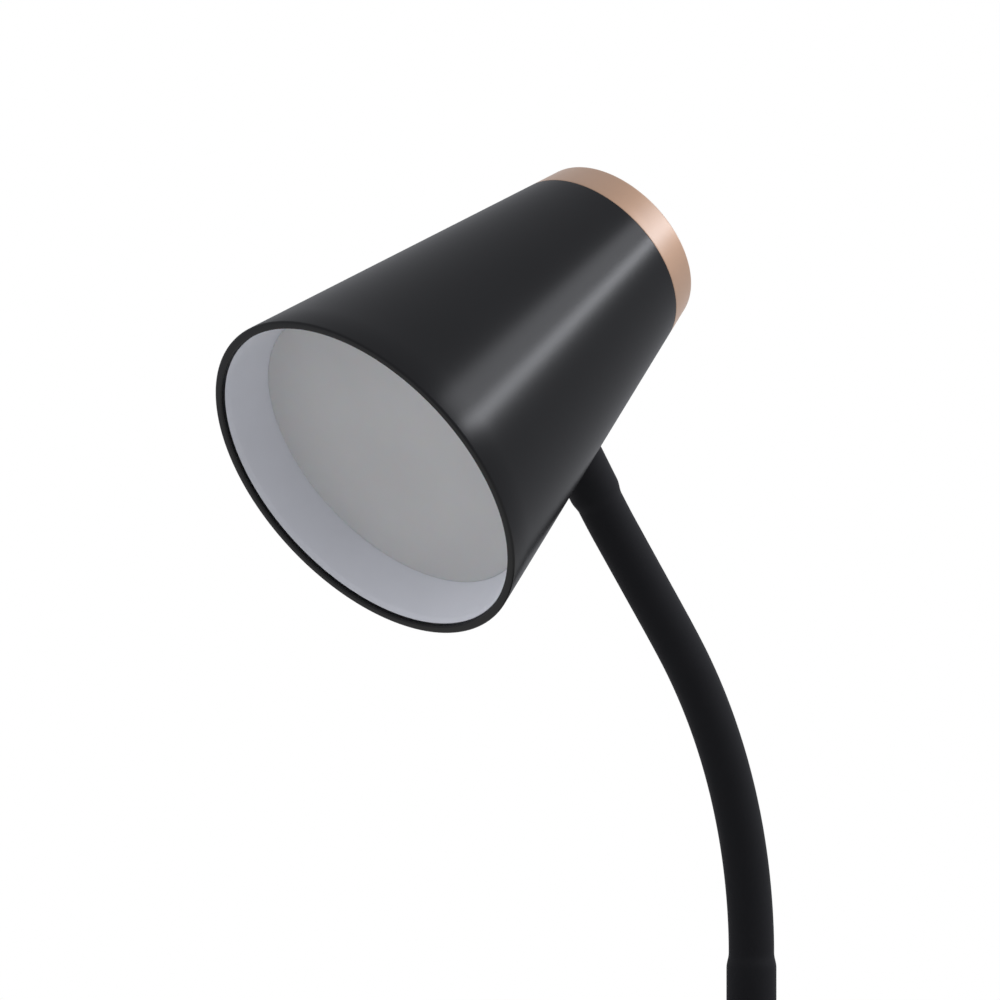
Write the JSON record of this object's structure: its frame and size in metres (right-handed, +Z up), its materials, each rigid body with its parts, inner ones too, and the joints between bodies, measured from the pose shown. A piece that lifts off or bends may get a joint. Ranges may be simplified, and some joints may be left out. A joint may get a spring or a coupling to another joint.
{
  "type": "desk lamp",
  "caption": "Gooseneck desk lamp with a black conical shade, a rose-gold rear cap, a white reflector with a frosted light disc, and a round weighted base with a push button.",
  "frame": {"origin": "centre of the base's underside, on the surface that the lamp stands on", "axes": "+Z up along the lower end of the neck; -Y towards the head; X across, so that the plane X = 0 divides the lamp into two like halves"},
  "size_m": [0.15, 0.2525, 0.2926],
  "materials": {
    "black_shade": "satin",
    "black_cover": "satin",
    "black_sleeve": "smooth matte",
    "rose_metal": "satin anodised",
    "white_reflector": "semi-gloss",
    "frosted_diffuser": "frosted",
    "steel": "zinc plated",
    "weight_iron": "as cast",
    "pad_rubber": "matte",
    "circuit_board": "lacquered",
    "board_core": "white lacquer",
    "chip_resin": "smooth",
    "moulded_black": "matte",
    "cast_aluminium": "as cast",
    "lead_cover": "smooth"
  },
  "bodies": {
    "base": {"foot_pad": "pad_rubber", "base_plate": "steel", "plate_screws": "steel", "base_weight": "weight_iron", "base_cover": "black_cover", "base_washer": "steel", "base_nut": "steel", "control_board": "circuit_board", "board_screws": "steel", "driver_parts": "moulded_black", "push_switch": "moulded_black", "dc_jack": "moulded_black", "base_leads": "lead_cover", "neck_sleeve_00": "black_sleeve", "neck_conduit_00": "steel", "lower_end_fitting": "steel"},
    "button": {"switch_button": "black_cover", "switch_plunger": "moulded_black"},
    "link_01": {"neck_sleeve_01": "black_sleeve", "neck_conduit_01": "steel"},
    "link_02": {"neck_sleeve_02": "black_sleeve", "neck_conduit_02": "steel"},
    "link_03": {"neck_sleeve_03": "black_sleeve", "neck_conduit_03": "steel"},
    "link_04": {"neck_sleeve_04": "black_sleeve", "neck_conduit_04": "steel"},
    "link_05": {"neck_sleeve_05": "black_sleeve", "neck_conduit_05": "steel"},
    "link_06": {"neck_sleeve_06": "black_sleeve", "neck_conduit_06": "steel"},
    "link_07": {"neck_sleeve_07": "black_sleeve", "neck_conduit_07": "steel"},
    "link_08": {"neck_sleeve_08": "black_sleeve", "neck_conduit_08": "steel"},
    "link_09": {"neck_sleeve_09": "black_sleeve", "neck_conduit_09": "steel"},
    "link_10": {"neck_sleeve_10": "black_sleeve", "neck_conduit_10": "steel"},
    "link_11": {"neck_sleeve_11": "black_sleeve", "neck_conduit_11": "steel"},
    "link_12": {"neck_sleeve_12": "black_sleeve", "neck_conduit_12": "steel"},
    "link_13": {"neck_sleeve_13": "black_sleeve", "neck_conduit_13": "steel"},
    "head": {"neck_sleeve_14": "black_sleeve", "neck_conduit_14": "steel", "upper_end_fitting": "steel", "shade": "black_shade", "rear_cap": "rose_metal", "cap_screw": "steel", "reflector": "white_reflector", "diffuser": "frosted_diffuser", "led_board": "board_core", "led_chips": "chip_resin", "heat_sink": "cast_aluminium", "sink_screws": "steel", "head_washer": "steel", "head_nut": "steel", "head_lead": "lead_cover"}
  },
  "joints": [
    {"name": "button_press", "type": "slide", "parent": "base", "child": "button", "axis": [0, 0, -1], "range_m": [0, 0.001], "stiffness_N_per_m": 600, "springref_m": -0.0003},
    {"name": "neck_bend_1", "type": "hinge", "parent": "base", "child": "link_01", "pos_m": [0, 0, 0.075], "axis": [1, 0, 0], "range_deg": [-10, 8]},
    {"name": "neck_side_1", "type": "hinge", "parent": "link_01", "child": "link_02", "pos_m": [0, -0.0008, 0.08547], "axis": [0, 0.9939, 0.1105], "range_deg": [-7, 7]},
    {"name": "neck_bend_2", "type": "hinge", "parent": "link_02", "child": "link_03", "pos_m": [0, -0.00232, 0.09586], "axis": [1, 0, 0], "range_deg": [-10, 8]},
    {"name": "neck_side_2", "type": "hinge", "parent": "link_03", "child": "link_04", "pos_m": [0, -0.00456, 0.10612], "axis": [0, 0.9691, 0.2466], "range_deg": [-7, 7]},
    {"name": "neck_bend_3", "type": "hinge", "parent": "link_04", "child": "link_05", "pos_m": [0, -0.0075, 0.1162], "axis": [1, 0, 0], "range_deg": [-10, 8]},
    {"name": "neck_side_3", "type": "hinge", "parent": "link_05", "child": "link_06", "pos_m": [0, -0.01113, 0.12605], "axis": [0, 0.9258, 0.378], "range_deg": [-7, 7]},
    {"name": "neck_bend_4", "type": "hinge", "parent": "link_06", "child": "link_07", "pos_m": [0, -0.01543, 0.13563], "axis": [1, 0, 0], "range_deg": [-10, 8]},
    {"name": "neck_side_4", "type": "hinge", "parent": "link_07", "child": "link_08", "pos_m": [0, -0.02038, 0.14489], "axis": [0, 0.8648, 0.5021], "range_deg": [-7, 7]},
    {"name": "neck_bend_5", "type": "hinge", "parent": "link_08", "child": "link_09", "pos_m": [0, -0.02597, 0.15378], "axis": [1, 0, 0], "range_deg": [-10, 8]},
    {"name": "neck_side_5", "type": "hinge", "parent": "link_09", "child": "link_10", "pos_m": [0, -0.03215, 0.16226], "axis": [0, 0.8003, 0.5996], "range_deg": [-7, 7]},
    {"name": "neck_bend_6", "type": "hinge", "parent": "link_10", "child": "link_11", "pos_m": [0, -0.03856, 0.17058], "axis": [1, 0, 0], "range_deg": [-10, 8]},
    {"name": "neck_side_6", "type": "hinge", "parent": "link_11", "child": "link_12", "pos_m": [0, -0.04496, 0.1789], "axis": [0, 0.7923, 0.6101], "range_deg": [-7, 7]},
    {"name": "neck_bend_7", "type": "hinge", "parent": "link_12", "child": "link_13", "pos_m": [0, -0.05137, 0.18722], "axis": [1, 0, 0], "range_deg": [-10, 8]},
    {"name": "neck_side_7", "type": "hinge", "parent": "link_13", "child": "head", "pos_m": [0, -0.05778, 0.19554], "axis": [0, 0.8059, 0.592], "range_deg": [-7, 7]}
  ]
}
